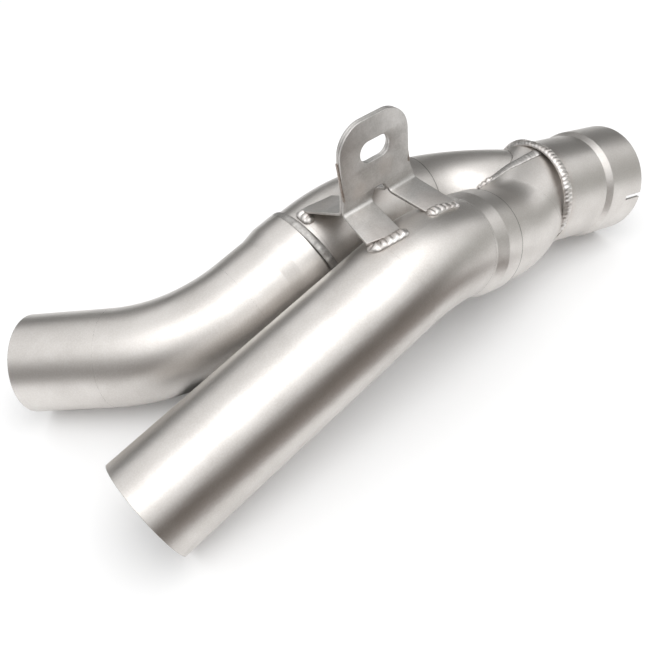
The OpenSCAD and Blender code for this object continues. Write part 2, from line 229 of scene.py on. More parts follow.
@dataclass
class Effects:
    """The node groups that the finishes share, each built when it is first asked for."""

    dent_scale: float = 4.0
    dent_share: float = 0.6
    speck_scale: float = 2.5
    worn_length: float = 1.5 * MM
    bevel_samples: int = 6
    corner_shade_samples: int = 8
    point_wander: float = 4.0 * MM
    point_raggedness: float = 0.5
    ring_wander: float = 5.0 * MM
    ring_raggedness: float = 0.6

    def new_tree(self, name: str, inputs: dict[str, str],
                 outputs: dict[str, str]) -> tuple[Tree, Node, Node]:
        """Start a node group.

        Args:
            name: The group's name.
            inputs: Name and socket type of each input.
            outputs: Name and socket type of each output.

        Returns:
            The tree, its input node and its output node.
        """
        tree = bpy.data.node_groups.new(name, "ShaderNodeTree")
        for label, kind in inputs.items():
            tree.interface.new_socket(name=label, in_out="INPUT", socket_type=kind)
        for label, kind in outputs.items():
            tree.interface.new_socket(name=label, in_out="OUTPUT", socket_type=kind)
        return tree, tree.nodes.new("NodeGroupInput"), tree.nodes.new("NodeGroupOutput")

    @cached_property
    def blast_grain(self) -> Tree:
        """Build the pits of a blasted surface, with its cloudy changes of tone.

        Returns:
            The group.
        """
        tree, given, result = self.new_tree(
            "blast_grain",
            {"Position": VECTOR, "Grain": FLOAT, "Cloud": FLOAT},
            {"Height": FLOAT, "Cloud": FLOAT, "Speck": FLOAT},
        )
        where, size = given.outputs["Position"], given.outputs["Grain"]
        pits = noise(tree, where, size, detail=3.0, roughness=0.65)
        dents = noise(tree, where, maths(tree, "MULTIPLY", size, self.dent_scale), detail=1.0)
        clouds = noise(tree, where, given.outputs["Cloud"], detail=3.0, roughness=0.6)
        specks = noise(tree, where, maths(tree, "MULTIPLY", size, self.speck_scale), roughness=0.7)
        feed(tree, result, {
            "Height": maths(tree, "MULTIPLY_ADD", dents, self.dent_share, pits),
            "Cloud": remap(tree, clouds, low=0.3, high=0.7),
            "Speck": remap(tree, specks, low=0.35, high=0.68),
        })
        return tree

    @cached_property
    def edge_wear(self) -> Tree:
        """Build the mask of where a surface turns over an edge, broken up along it.

        Returns:
            The group.
        """
        tree, given, result = self.new_tree(
            "edge_wear",
            {"Position": VECTOR, "Radius": FLOAT},
            {"Edge": FLOAT, "Normal": VECTOR},
        )
        rounded = add_node(tree, "ShaderNodeBevel", samples=self.bevel_samples)
        feed(tree, rounded, {"Radius": given.outputs["Radius"]})
        surface = add_node(tree, "ShaderNodeNewGeometry")
        turned = add_node(tree, "ShaderNodeVectorMath", operation="DOT_PRODUCT")
        feed(tree, turned, {0: rounded.outputs["Normal"], 1: surface.outputs["Normal"]})
        edge = remap(tree, turned.outputs["Value"], low=0.995, high=0.9)
        patches = noise(tree, given.outputs["Position"], self.worn_length)
        broken = remap(tree, patches, low=0.3, high=0.6, to_low=0.4, to_high=1.0)
        feed(tree, result, {"Edge": maths(tree, "MULTIPLY", edge, broken),
                            "Normal": rounded.outputs["Normal"]})
        return tree

    @cached_property
    def corner_shade(self) -> Tree:
        """Build the mask of painted shade where a surface lies close to another, as beside a bead.

        Returns:
            The group.
        """
        tree, given, result = self.new_tree("corner_shade", {"Reach": FLOAT}, {"Shade": FLOAT})
        closeness = add_node(tree, "ShaderNodeAmbientOcclusion", samples=self.corner_shade_samples)
        feed(tree, closeness, {"Distance": given.outputs["Reach"]})
        feed(tree, result, {"Shade": remap(tree, closeness.outputs["AO"], low=0.95, high=0.5)})
        return tree

    @cached_property
    def near_point(self) -> Tree:
        """Build the ragged mask round a point, for heat tint and smudges.

        Returns:
            The group.
        """
        tree, given, result = self.new_tree(
            "near_point",
            {"Position": VECTOR, "Point": VECTOR, "Reach": FLOAT},
            {"Mask": FLOAT},
        )
        gap = add_node(tree, "ShaderNodeVectorMath", operation="DISTANCE")
        feed(tree, gap, {0: given.outputs["Position"], 1: given.outputs["Point"]})
        wander = noise(tree, given.outputs["Position"], self.point_wander)
        share = maths(tree, "DIVIDE", gap.outputs["Value"], given.outputs["Reach"])
        swing = maths(tree, "MULTIPLY_ADD", wander, self.point_raggedness,
                      -self.point_raggedness / 2)
        ragged = maths(tree, "ADD", share, swing)
        feed(tree, result, {"Mask": remap(tree, ragged, low=1.0, high=0.35)})
        return tree

    @cached_property
    def near_ring(self) -> Tree:
        """Build the ragged mask along a circle, for heat tint and the painted shade in the joint at
        a rim.

        Returns:
            The group.
        """
        tree, given, result = self.new_tree(
            "near_ring",
            {"Position": VECTOR, "Centre": VECTOR, "Axis": VECTOR, "Reach": FLOAT, "Limit": FLOAT},
            {"Mask": FLOAT},
        )
        offset = add_node(tree, "ShaderNodeVectorMath", operation="SUBTRACT")
        feed(tree, offset, {0: given.outputs["Position"], 1: given.outputs["Centre"]})
        along = add_node(tree, "ShaderNodeVectorMath", operation="DOT_PRODUCT")
        feed(tree, along, {0: offset.outputs["Vector"], 1: given.outputs["Axis"]})
        share = maths(tree, "DIVIDE", maths(tree, "ABSOLUTE", along.outputs["Value"]),
                      given.outputs["Reach"])
        wander = noise(tree, given.outputs["Position"], self.ring_wander)
        swing = maths(tree, "MULTIPLY_ADD", wander, self.ring_raggedness,
                      -self.ring_raggedness / 2)
        ragged = maths(tree, "ADD", share, swing)
        outside = add_node(tree, "ShaderNodeVectorMath", operation="LENGTH")
        feed(tree, outside, {0: offset.outputs["Vector"]})
        inside = maths(tree, "LESS_THAN", outside.outputs["Value"], given.outputs["Limit"])
        near = remap(tree, ragged, low=1.0, high=0.2)
        feed(tree, result, {"Mask": maths(tree, "MULTIPLY", near, inside)})
        return tree


EFFECTS = Effects()


def place_group(tree: Tree, group: Tree, **inputs: object) -> Node:
    """Place a node group in a material.

    Args:
        tree: The material's tree.
        group: The group to place.
        inputs: A socket or value for each of the group's inputs, by name.

    Returns:
        The group's node.
    """
    node = add_node(tree, "ShaderNodeGroup", node_tree=group)
    feed(tree, node, inputs)
    return node


# Finishes


@dataclass(frozen=True)
class Spot:
    """A round stain: heat tint beside a short bead, or a smudge."""

    centre: Vector
    reach: float


@dataclass(frozen=True)
class RingMark:
    """Heat tint along a round bead, or the painted shade line in the joint at a tube's rim."""

    centre: Vector
    axis: Vector
    reach: float
    limit: float = 36.0 * MM


def new_material(name: str) -> tuple[bpy.types.Material, Tree, Node]:
    """Start a material.

    Args:
        name: The material's name.

    Returns:
        The material, its tree and its shader.
    """
    made = bpy.data.materials.new(name)
    made.use_nodes = True
    return made, made.node_tree, made.node_tree.nodes["Principled BSDF"]


def add_bump(tree: Tree, shader: Node, height: Socket, depth: float) -> Node:
    """Give a shader the relief of a height.

    Args:
        tree: The material's tree.
        shader: The shader that shows the relief.
        height: Socket with the height.
        depth: Depth of the relief in metres.

    Returns:
        The Bump node.
    """
    bump = add_node(tree, "ShaderNodeBump")
    feed(tree, bump, {"Strength": 1.0, "Distance": depth, "Height": height})
    feed(tree, shader, {"Normal": bump.outputs["Normal"]})
    return bump


@dataclass(frozen=True)
class BlastedSteel:
    """Stainless steel with the even satin of fine blasting."""

    name: str
    light: Colour
    dark: Colour
    roughness: float
    roughness_swing: float = 0.06
    grain: float = 0.32 * MM
    grain_depth: float = 0.035 * MM
    cloud: float = 26.0 * MM
    speck_colour: Colour = (0.95, 0.95, 0.95)
    speck_share: float = 0.16
    edge_radius: float = 0.35 * MM
    edge_colour: Colour = (0.86, 0.84, 0.81)
    edge_share: float = 0.7
    edge_polish: float = 0.12
    # Painted shade: ambient occlusion darkens corners, and a dark line lies in each rim's joint.
    painted_shade_reach: float = 2.5 * MM
    painted_shade_colour: Colour = (0.10, 0.09, 0.08)
    painted_shade_share: float = 0.3
    rim_painted_shade_share: float = 0.6
    tint_colour: Colour = (0.52, 0.43, 0.37)
    tint_share: float = 0.18
    spots: tuple[Spot, ...] = ()
    rings: tuple[RingMark, ...] = ()
    painted_rim_shades: tuple[RingMark, ...] = ()

    def material(self) -> bpy.types.Material:
        """Build the material.

        Returns:
            The finished material.
        """
        made, tree, shader = new_material(self.name)
        where = add_node(tree, "ShaderNodeTexCoord").outputs["Object"]
        grain = place_group(tree, EFFECTS.blast_grain, Position=where, Grain=self.grain,
                            Cloud=self.cloud)
        edge = place_group(tree, EFFECTS.edge_wear, Position=where, Radius=self.edge_radius)
        roughness = maths(tree, "MULTIPLY_ADD", grain.outputs["Cloud"], -self.roughness_swing,
                          self.roughness + self.roughness_swing / 2)
        roughness = maths(tree, "MULTIPLY_ADD", edge.outputs["Edge"], -self.edge_polish, roughness)
        feed(tree, shader, {"Base Color": self.colour(tree, where, grain, edge),
                            "Roughness": roughness, "Metallic": 1.0})
        bump = add_bump(tree, shader, grain.outputs["Height"], self.grain_depth)
        feed(tree, bump, {"Normal": edge.outputs["Normal"]})
        return made

    def colour(self, tree: Tree, where: Socket, grain: Node,
               edge: Node) -> Socket:
        """Lay the steel's tones over one another: clouds, specks, tint, edges, painted shade in
        each rim's joint and painted shade in corners.

        Args:
            tree: The material's tree.
            where: Socket with the position in metres.
            grain: The placed grain group.
            edge: The placed edge group.

        Returns:
            The colour's socket.
        """
        colour = mix_colour(tree, grain.outputs["Cloud"], self.dark, self.light)
        layers = [(grain.outputs["Speck"], self.speck_share, self.speck_colour)]
        layers += [(mask, self.tint_share, self.tint_colour)
                   for mask in self.tint_masks(tree, where)]
        layers.append((edge.outputs["Edge"], self.edge_share, self.edge_colour))
        # Painted shade: a dark line in the joint where each leg leaves its tube's rim.
        layers += [(self.ring_mask(tree, where, rim), self.rim_painted_shade_share, self.painted_shade_colour)
                   for rim in self.painted_rim_shades]
        # Painted shade: ambient occlusion darkens corners and the sides of beads.
        corner = place_group(tree, EFFECTS.corner_shade, Reach=self.painted_shade_reach)
        layers.append((corner.outputs["Shade"], self.painted_shade_share, self.painted_shade_colour))
        for mask, share, laid in layers:
            colour = mix_colour(tree, maths(tree, "MULTIPLY", mask, share), colour, laid)
        return colour

    def tint_masks(self, tree: Tree, where: Socket) -> list[Socket]:
        """Join the masks of every spot and ring of tint.

        Args:
            tree: The material's tree.
            where: Socket with the position in metres.

        Returns:
            A list with the joined mask's socket, or an empty one if there is no tint.
        """
        masks = [
            place_group(tree, EFFECTS.near_point, Position=where, Point=spot.centre,
                        Reach=spot.reach).outputs["Mask"]
            for spot in self.spots
        ]
        masks += [self.ring_mask(tree, where, ring) for ring in self.rings]
        joined = masks[:1]
        for mask in masks[1:]:
            joined = [maths(tree, "MAXIMUM", joined[0], mask)]
        return joined

    def ring_mask(self, tree: Tree, where: Socket,
                  ring: RingMark) -> Socket:
        """Place the mask of one circle.

        Args:
            tree: The material's tree.
            where: Socket with the position in metres.
            ring: The circle.

        Returns:
            The mask's socket.
        """
        placed = place_group(tree, EFFECTS.near_ring, Position=where, Centre=ring.centre,
                             Axis=ring.axis, Reach=ring.reach, Limit=ring.limit)
        return placed.outputs["Mask"]


@dataclass(frozen=True)
class BeadSteel:
    """Bright weld metal with straw and brown colours left by the heat."""

    name: str
    bright: Colour = (0.74, 0.72, 0.70)
    burnt: Colour = (0.42, 0.34, 0.29)
    burnt_share: float = 0.35
    roughness: float = 0.33
    speck_roughness: float = 0.12
    grain: float = 0.5 * MM
    grain_depth: float = 0.05 * MM
    cloud: float = 5.0 * MM

    def material(self) -> bpy.types.Material:
        """Build the material.

        Returns:
            The finished material.
        """
        made, tree, shader = new_material(self.name)
        where = add_node(tree, "ShaderNodeTexCoord").outputs["Object"]
        grain = place_group(tree, EFFECTS.blast_grain, Position=where, Grain=self.grain,
                            Cloud=self.cloud)
        burn = maths(tree, "MULTIPLY", grain.outputs["Cloud"], self.burnt_share)
        colour = mix_colour(tree, burn, self.bright, self.burnt)
        roughness = maths(tree, "MULTIPLY_ADD", grain.outputs["Speck"], self.speck_roughness,
                          self.roughness)
        feed(tree, shader, {"Base Color": colour, "Roughness": roughness, "Metallic": 1.0})
        add_bump(tree, shader, grain.outputs["Height"], self.grain_depth)
        return made


# Weld beads as meshes


RIPPLE_ROUNDNESS = 0.55
LEAST_END_X = 0.7
DROP_HEIGHT = 0.2


def ripple(turns: float) -> float:
    """Return the height of a bead, from 0 to 1, after this many ripples."""
    return abs(math.sin(math.pi * turns)) ** RIPPLE_ROUNDNESS


@dataclass(frozen=True)
class BeadSize:
    """The section of one kind of bead, and how far its ripples are apart."""

    half_width: float
    height: float
    pitch: float
    depth: float = 0.7 * MM
    ripple_share: float = 0.3


@dataclass
class Bead:
    """A bead of weld metal along a path, with a ripple for each drop of filler.

    Its node is the plain solid whose place it takes, or empty where there is none.
    """

    name: str
    node: str
    path: list[Vector]
    outward: list[Vector]
    size: BeadSize
    end: End = End.ROUNDED
    seed: int = 1
    around: int = 14
    drop_range: Pair = (0.86, 1.12)
    width_swing: float = 0.1
    crescent: float = 0.45

    def lengths(self) -> list[float]:
        """Measure the path.

        Returns:
            The distance along the path at each of its points.
        """
        found = [0.0]
        for first, second in zip(self.path, self.path[1:]):
            found.append(found[-1] + (second - first).length)
        return found

    def size_at(self, along: float, total: float) -> float:
        """Work out how far the bead has swelled from its rounded end.

        Args:
            along: Distance along the path.
            total: The path's whole length.

        Returns:
            The share of the full size, from 0 to 1.
        """
        if self.end is End.CLOSED:
            return 1.0
        from_end = min(along, total - along) / self.size.half_width
        return math.sqrt(max(0.0, 1.0 - max(0.0, 1.0 - from_end) ** 2))

    def build(self) -> bpy.types.Object:
        """Make the bead's mesh and its object.

        Returns:
            The bead, riding on the part in place of its plain solid.
        """
        draw = random.Random(self.seed)
        lengths = self.lengths()
        total = lengths[-1]
        drops = int(total / self.size.pitch) + 3
        sizes = [draw.uniform(*self.drop_range) for _ in range(drops)]
        mesh = bmesh.new()
        rows = []
        count = len(self.path) - (1 if self.end is End.CLOSED else 0)
        for index in range(count):
            rows.append(self.row(mesh, index, lengths[index], total, sizes))
        steps = len(self.path) - 1
        for index in range(steps):
            first, second = rows[index], rows[(index + 1) % count]
            for side in range(self.around):
                after = (side + 1) % self.around
                mesh.faces.new((first[side], first[after], second[after], second[side]))
        if self.end is End.ROUNDED:
            mesh.faces.new(rows[0][::-1])
            mesh.faces.new(rows[-1])
        bmesh.ops.recalc_face_normals(mesh, faces=mesh.faces)
        data = bpy.data.meshes.new(self.name)
        mesh.to_mesh(data)
        mesh.free()
        for face in data.polygons:
            face.use_smooth = True
        piece = add_object(self.name, data)
        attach(piece, "root")
        return piece

    def row(self, mesh: bmesh.types.BMesh, index: int, along: float, total: float,
            sizes: list[float]) -> list[bmesh.types.BMVert]:
        """Add the ring of points at one place on the path.

        Args:
            mesh: The mesh that takes the points.
            index: Which point of the path.
            along: Distance along the path.
            total: The path's whole length.
            sizes: The size of each drop, as a share.

        Returns:
            The new points, in order.
        """
        here = self.path[index]
        before = self.path[index - 1] if index else here
        after = self.path[index + 1] if index + 1 < len(self.path) else here
        ahead = (after - before).normalized()
        up = self.outward[index]
        up = (up - ahead * up.dot(ahead)).normalized()
        across = ahead.cross(up)
        share = self.size_at(along, total)
        points = []
        for side in range(self.around):
            angle = math.tau * side / self.around
            reach = math.cos(angle)
            turns = along / self.size.pitch + self.crescent * reach * reach
            drop = sizes[int(turns) % len(sizes)]
            low = 1.0 - self.size.ripple_share
            swell = drop * (low + self.size.ripple_share * ripple(turns))
            spread = 1.0 - self.width_swing + self.width_swing * drop
            width = self.size.half_width * spread * share * reach
            lift = math.sin(angle)
            rise = lift * (self.size.height * swell if lift > 0 else self.size.depth) * share
            points.append(mesh.verts.new(here + across * width + up * rise))
        return points


def longest_line(node: str) -> tuple[Vector, Vector]:
    """Find the line along which a plain bead runs.

    Args:
        node: The name of the bead's plain solid.

    Returns:
        The two ends of the line.
    """
    corners = [vertex.co.copy() for vertex in frame["nodes"][node].data.vertices]
    first = max(corners, key=lambda point: (point - corners[0]).length)
    second = max(corners, key=lambda point: (point - first).length)
    direction = (second - first).normalized()
    middle = sum(corners, Vector()) / len(corners)
    reach = [(corner - middle).dot(direction) for corner in corners]
    return middle + direction * min(reach), middle + direction * max(reach)


def end_face(node: str, other: str) -> tuple[Vector, Vector]:
    """Find the flat end of a tube that is nearer to another solid.

    Args:
        node: The tube's name.
        other: The name of the solid that the end is near.

    Returns:
        The end's centre, and the direction in which it faces.
    """
    groups: dict[tuple, list] = {}
    for face in frame["nodes"][node].data.polygons:
        if abs(face.normal.x) > LEAST_END_X:
            groups.setdefault(tuple(round(value, 2) for value in face.normal), []).append(face)
    largest = sorted(groups.values(), key=lambda group: -sum(face.area for face in group))[:2]
    places = [vertex.co for vertex in frame["nodes"][other].data.vertices]
    goal = sum(places, Vector()) / len(places)
    ends = [(sum((face.center * face.area for face in group), Vector())
             / sum(face.area for face in group), group[0].normal.copy()) for group in largest]
    return min(ends, key=lambda end: (end[0] - goal).length)


def facing_matrix(place: Vector, facing: Vector) -> Matrix:
    """Return the placing of an object at a place, with its Z axis along a direction."""
    return Matrix.Translation(place) @ facing.to_track_quat("Z", "Y").to_matrix().to_4x4()


def straight_path(start: Vector, finish: Vector, steps: int) -> list[Vector]:
    """Return evenly spaced points from start to finish."""
    return [start.lerp(finish, index / steps) for index in range(steps + 1)]


def arc(centre: Pair, radius: float, start: float, end: float,
        steps: int = 16) -> list[Pair]:
    """Draw an arc.

    Args:
        centre: The arc's centre.
        radius: Its radius.
        start: The angle at which it starts, in degrees.
        end: The angle at which it ends, in degrees.
        steps: Number of its chords.

    Returns:
        The points round the arc.
    """
    angles = [math.radians(start + (end - start) * step / steps) for step in range(steps + 1)]
    return [(centre[0] + radius * math.cos(angle), centre[1] + radius * math.sin(angle))
            for angle in angles]


def resting_path(corners: list[Pair], solids: tuple[str, ...],
                 steps: int) -> tuple[list[Vector], list[Vector]]:
    """Lay a smooth path down on the tops of some solids.

    Args:
        corners: The path's corners in plan, in millimetres.
        solids: The names of the solids that carry it.
        steps: Number of points on each stretch.

    Returns:
        The path's points and the surface's normal at each of them.
    """
    trees = [BVHTree.FromObject(frame["nodes"][name], bpy.context.evaluated_depsgraph_get())
             for name in solids]
    points, normals = [], []
    ends = [corners[0], *corners, corners[-1]]
    for index in range(len(corners) - 1):
        for step in range(steps + (index == len(corners) - 2)):
            plan = smooth_point(ends[index:index + 4], step / steps)
            above = Vector((plan[0] * MM, plan[1] * MM, DROP_HEIGHT))
            hits = [tree.ray_cast(above, Vector((0, 0, -1))) for tree in trees]
            hits = [hit for hit in hits if hit[0] is not None]
            if hits:
                highest = max(hits, key=lambda hit: hit[0].z)
                points.append(highest[0])
                normals.append(highest[1])
    return points, normals


def smooth_point(near: list[Pair], share: float) -> Pair:
    """Find a point on the smooth curve through four others.

    Args:
        near: The four points that the curve passes.
        share: How far the point is from the second to the third, from 0 to 1.

    Returns:
        The point.
    """
    found = []
    for a, b, c, d in zip(*near):
        found.append(0.5 * (2 * b + (c - a) * share + (2 * a - 5 * b + 4 * c - d) * share ** 2
                            + (3 * b - a - 3 * c + d) * share ** 3))
    return (found[0], found[1])


def spokes(across: Vector, up: Vector, steps: int) -> list[Vector]:
    """Return the directions round a turn from across through up, the first again at the end."""
    angles = [math.tau * step / steps for step in range(steps + 1)]
    return [across * math.cos(angle) + up * math.sin(angle) for angle in angles]


# The pipe's sub-assemblies


@dataclass
class Tubes:
    """The swaged tubes, the legs and the collector, which keep their own solids."""

    names: tuple[str, ...] = ("front_tube", "front_merge_leg", "rear_inlet_tube",
                              "rear_mid_tube", "rear_merge_leg", "collector")

    def dress(self, finish: BlastedSteel) -> None:
        """Give every tube its finish.

        Args:
            finish: The blasted steel of the tubes.
        """
        made = finish.material()
        for name in self.names:
            for place in frame["nodes"][name].material_slots:
                place.material = made
            LOG.info("dressed %s", name)


@dataclass(frozen=True)
class Feet:
    """The two feet of one plate, in millimetres from the upright's middle and the fold line.

    The feet fall by an angle in degrees. Each of their edges has its start at the fold and
    its end.
    """

    fall: float
    outer_left: tuple[Pair, Pair]
    notch_left: tuple[Pair, Pair]
    notch_right: tuple[Pair, Pair]
    outer_right: tuple[Pair, Pair]


FRONT_FEET = Feet(8.5, ((-21.3, 2.5), (-25.6, 20.4)), ((-3.8, 1.5), (-7.9, 24.4)),
                  ((6.6, 1.5), (9.5, 24.0)), ((23.2, 2.5), (25.0, 25.8)))
REAR_FEET = Feet(21.0, ((-21.3, 2.5), (-23.6, 32.5)), ((-3.8, 1.5), (-5.5, 32.5)),
                 ((6.6, 1.5), (8.0, 32.5)), ((23.2, 2.5), (24.5, 32.5)))


@dataclass
class Bracket:
    """The two folded plates, cut from sheet with rounded edges and bent over a tool.

    Its sizes are in millimetres. The plates meet at seam_side, and fold at fold_height.
    """

    middle: float = -155.54
    seam_side: float = 22.70
    fold_height: float = 56.93
    thickness: float = 1.5
    half_width: float = 20.35
    height: float = 41.1
    corner: float = 14.1
    slot_length: float = 17.8
    slot_width: float = 10.4
    slot_height: float = 25.0
    notch_top: float = 5.2
    notch_radius: float = 3.4
    notch_step: float = 1.0
    flare_start: float = 15.0
    flare_steps: int = 10
    fold_radius: float = 2.4
    rounding: float = 0.22
    rounding_steps: int = 2
    fold_steps: int = 14
    sharp_angle: float = 40.0
    join_distance: float = 0.001

    def fold_angle(self, feet: Feet) -> float:
        """Return the angle through which the sheet is bent, in radians."""
        return math.radians(90.0 - feet.fall)

    def fold_start(self, feet: Feet) -> float:
        """Return the height above the fold line at which the bend begins."""
        return self.fold_radius * math.tan(self.fold_angle(feet) / 2)

    def bend_length(self, feet: Feet) -> float:
        """Return the length of sheet that the bend takes."""
        return (self.fold_radius + self.thickness / 2) * self.fold_angle(feet)

    def flat_place(self, feet: Feet, reach: float) -> float:
        """Return where a point of a foot lies on the flat sheet, below the fold line."""
        start = self.fold_start(feet)
        return start - self.bend_length(feet) - (reach - start)

    def outline(self, feet: Feet) -> list[Pair]:
        """Draw the flat sheet before it is bent.

        Args:
            feet: The plate's feet.

        Returns:
            The outline's points, clockwise from the left foot's outer end.
        """
        top = self.height - self.corner
        side = self.half_width
        points = [self.on_sheet(feet, feet.outer_left[1]), feet.outer_left[0]]
        points += self.flare(feet.outer_left[0], -side)[1:]
        points += arc((-side + self.corner, top), self.corner, 180.0, 90.0)
        points += arc((side - self.corner, top), self.corner, 90.0, 0.0)
        points += self.flare(feet.outer_right[0], side)[::-1][:-1]
        points += [feet.outer_right[0], self.on_sheet(feet, feet.outer_right[1])]
        points += [self.on_sheet(feet, feet.notch_right[1]), feet.notch_right[0]]
        notch_side = self.notch_top - self.notch_radius
        right = feet.notch_right[0][0] - self.notch_step
        left = feet.notch_left[0][0] + self.notch_step
        points += arc((right - self.notch_radius, notch_side), self.notch_radius, 0.0, 90.0)
        points += arc((left + self.notch_radius, notch_side), self.notch_radius, 90.0, 180.0)
        points += [feet.notch_left[0], self.on_sheet(feet, feet.notch_left[1])]
        return points

    def flare(self, foot: Pair, side: float) -> list[Pair]:
        """Draw the smooth edge where the upright widens to a foot.

        Args:
            foot: The foot's outer corner at the fold.
            side: The upright's edge, from its middle.

        Returns:
            The edge's points, from the foot up.
        """
        rise = self.flare_start - foot[1]
        shares = [step / self.flare_steps for step in range(self.flare_steps + 1)]
        return [(side + (foot[0] - side) * (1 - share) ** 2, foot[1] + rise * share)
                for share in shares]

    def on_sheet(self, feet: Feet, place: Pair) -> Pair:
        """Return a foot's corner on the flat sheet, from its place on the bent foot."""
        return (place[0], self.flat_place(feet, place[1]))

    def slot_outline(self) -> list[Pair]:
        """Draw the slot.

        Returns:
            The points round it.
        """
        half = (self.slot_length - self.slot_width) / 2
        radius = self.slot_width / 2
        return (arc((half, self.slot_height), radius, -90.0, 90.0)
                + arc((-half, self.slot_height), radius, 90.0, 270.0))

    def flat_sheet(self, name: str, feet: Feet) -> bpy.types.Mesh:
        """Make the flat sheet as a mesh with rounded edges.

        Args:
            name: The mesh's name.
            feet: The plate's feet.

        Returns:
            The mesh, in millimetres, with its thickness along Z.
        """
        curve = bpy.data.curves.new(name, "CURVE")
        curve.dimensions, curve.fill_mode = "2D", "BOTH"
        curve.extrude = self.thickness / 2 - self.rounding
        curve.bevel_depth, curve.bevel_resolution = self.rounding, self.rounding_steps
        curve.offset = -self.rounding
        for points in (self.outline(feet), self.slot_outline()):
            spline = curve.splines.new("POLY")
            spline.points.add(len(points) - 1)
            for target, point in zip(spline.points, points):
                target.co = (*point, 0.0, 1.0)
            spline.use_cyclic_u = True
        holder = add_object(name, curve)
        bpy.context.view_layer.update()
        seen = holder.evaluated_get(bpy.context.evaluated_depsgraph_get())
        data = bpy.data.meshes.new_from_object(seen)
        bpy.data.objects.remove(holder)
        bpy.data.curves.remove(curve)
        return data

    def bent(self, feet: Feet, point: Vector, towards: float) -> Vector:
        """Return where a point of the flat sheet goes when the sheet is bent and placed.

        Args:
            feet: The plate's feet.
            point: The point on the flat sheet, its third value from 0 at the seam.
            towards: -1 for the front plate and 1 for the rear one.

        Returns:
            The point in the part's frame, in metres.
        """
        start, radius = self.fold_start(feet), self.fold_radius + self.thickness - point.z
        whole = self.fold_angle(feet)
        below = start - point.y
        out, rise = point.z, point.y
        if below > 0:
            angle = min(whole, below / (self.fold_radius + self.thickness / 2))
            rest = max(0.0, below - self.bend_length(feet))
            out = self.fold_radius + self.thickness - radius * math.cos(angle)
            rise = start - radius * math.sin(angle)
            out += rest * math.sin(whole)
            rise -= rest * math.cos(whole)
        return Vector((self.middle + point.x, self.seam_side + towards * out,
                       self.fold_height + rise)) * MM

    def plate(self, name: str, node: str, feet: Feet, towards: float) -> bpy.types.Object:
        """Make one plate and put it in place of its plain solid.

        Args:
            name: The piece's name.
            node: The plain solid that it replaces.
            feet: The plate's feet.
            towards: -1 for the front plate and 1 for the rear one.

        Returns:
            The plate.
        """
        data = self.flat_sheet(name, feet)
        mesh = bmesh.new()
        mesh.from_mesh(data)
        bmesh.ops.remove_doubles(mesh, verts=mesh.verts, dist=self.join_distance)
        start, length = self.fold_start(feet), self.bend_length(feet)
        for step in range(self.fold_steps + 1):
            height = start - length * step / self.fold_steps
            bmesh.ops.bisect_plane(mesh, geom=mesh.verts[:] + mesh.edges[:] + mesh.faces[:],
                                   plane_co=(0, height, 0), plane_no=(0, 1, 0))
        for vertex in mesh.verts:
            flat = Vector((vertex.co.x, vertex.co.y, vertex.co.z + self.thickness / 2))
            vertex.co = self.bent(feet, flat, towards)
        bmesh.ops.recalc_face_normals(mesh, faces=mesh.faces)
        for face in mesh.faces:
            face.smooth = True
        mesh.to_mesh(data)
        mesh.free()
        data.set_sharp_from_angle(angle=math.radians(self.sharp_angle))
        piece = add_object(name, data)
        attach(piece, "root")
        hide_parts(node)
        return piece

    def build(self, finish: BlastedSteel) -> None:
        """Make both plates and dress them.

        Args:
            finish: The duller steel of the plates.
        """
        made = finish.material()
        plates = (("front_plate", "bracket_front_plate", FRONT_FEET, -1.0),
                  ("rear_plate", "bracket_rear_plate", REAR_FEET, 1.0))
        for name, node, feet, towards in plates:
            piece = self.plate(name, node, feet, towards)
            piece.data.materials.clear()
            piece.data.materials.append(made)
            LOG.info("built %s in place of %s", name, node)


# Where each foot's bead runs in plan, in millimetres
FOOT_BEADS = {
    "front_left_foot_weld": [(-178.9, 2.6), (-177.6, -1.9), (-171.0, -3.9), (-162.2, -5.6)],
    "front_right_foot_weld": [(-147.6, -3.6), (-138.0, -3.6), (-128.6, -4.6)],
    "rear_left_foot_weld": [(-179.2, 44.5), (-179.6, 50.0), (-179.2, 55.0)],
    "rear_right_foot_weld": [(-131.0, 44.5), (-130.6, 50.0), (-131.0, 55.0)],
}

# Where the legs' seam runs in plan, in millimetres, and the lumps at its start
SEAM_LINE = [(-82.5, 18.6), (-75.1, 14.9), (-69.5, 12.9), (-63.9, 10.2), (-57.0, 8.0), (-50.5, 6.0)]
SEAM_LUMPS = [(-84.8, 20.0), (-81.5, 18.0), (-77.5, 16.0)]


